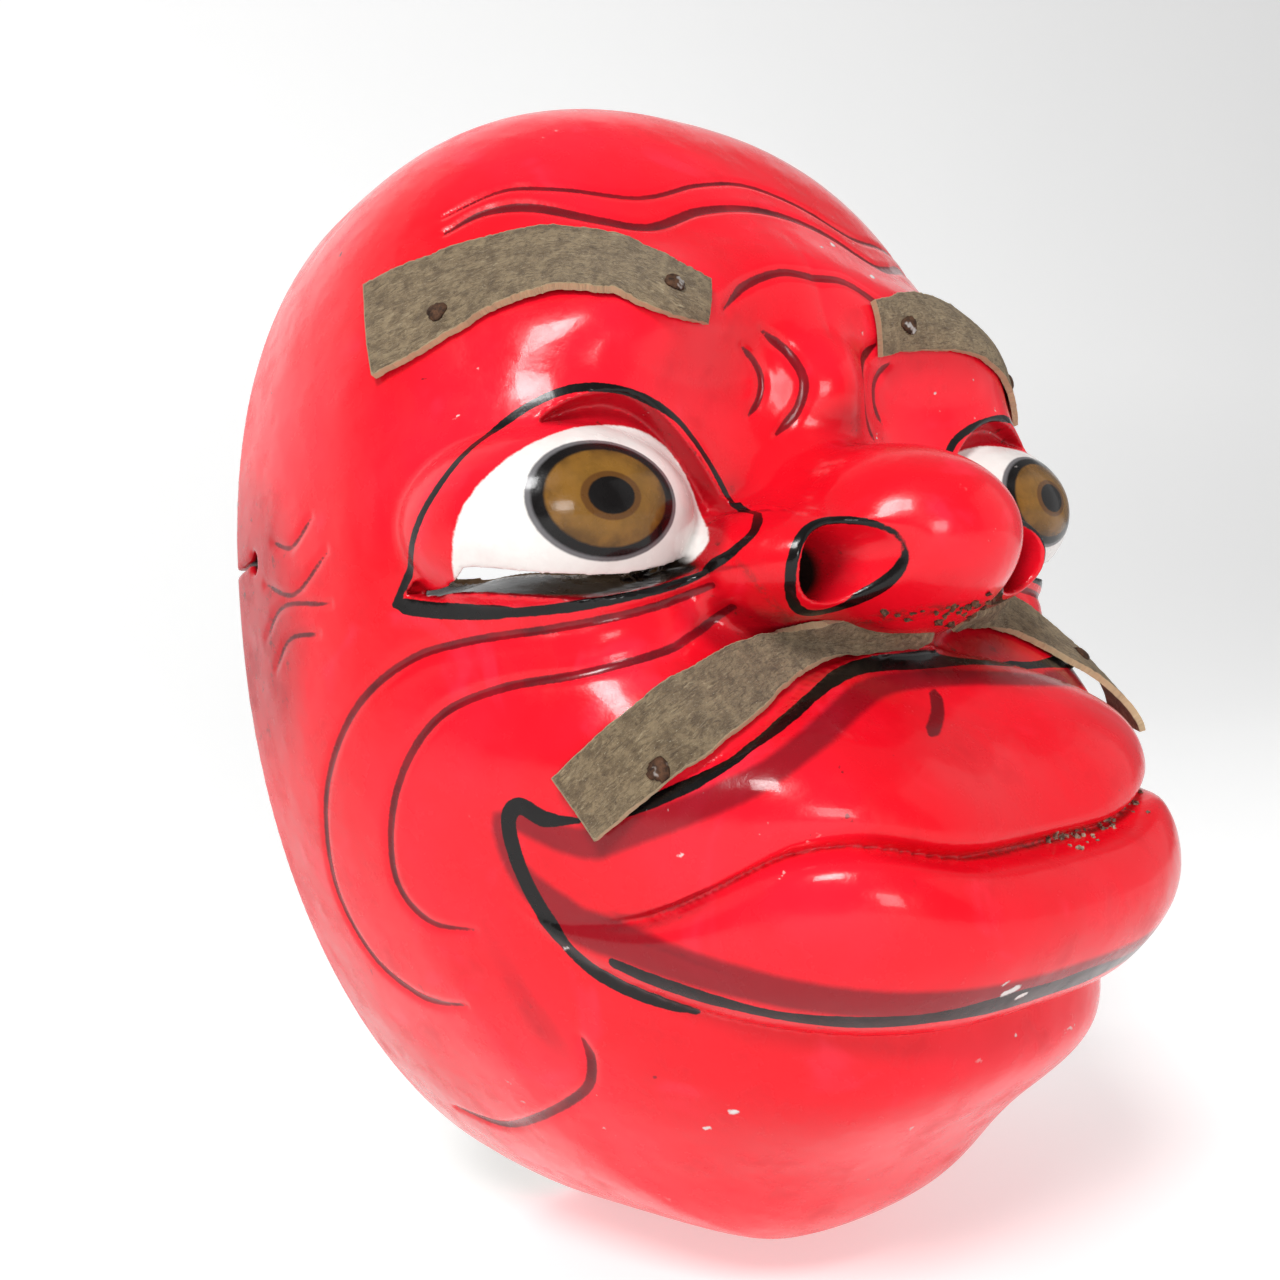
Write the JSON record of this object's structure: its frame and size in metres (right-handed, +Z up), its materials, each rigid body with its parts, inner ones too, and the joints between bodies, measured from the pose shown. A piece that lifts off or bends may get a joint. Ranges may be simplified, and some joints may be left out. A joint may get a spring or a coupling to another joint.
{
  "type": "theatre mask",
  "caption": "Carved hollow wooden theatre mask with bulging eyes, wide protruding lips and tacked hide brows and moustache.",
  "frame": {"origin": "on the middle line in the plane of the back rim, near the middle of its height", "axes": "+Z up the face, the face looks along -Y, and +X is the mask's own left"},
  "size_m": [0.145, 0.104, 0.1946],
  "materials": {
    "painted_wood": "glossy red lacquer over white ground on carved light wood",
    "hide": "stiff dried hide with short mottled fibres",
    "tack_iron": "dull rusted iron"
  },
  "bodies": {
    "root": {"mask_shell": "painted_wood", "right_eyebrow": "hide", "left_eyebrow": "hide", "right_moustache": "hide", "left_moustache": "hide", "right_eyebrow_tacks": "tack_iron", "left_eyebrow_tacks": "tack_iron", "right_moustache_tack": "tack_iron", "left_moustache_tack": "tack_iron"}
  },
  "joints": []
}
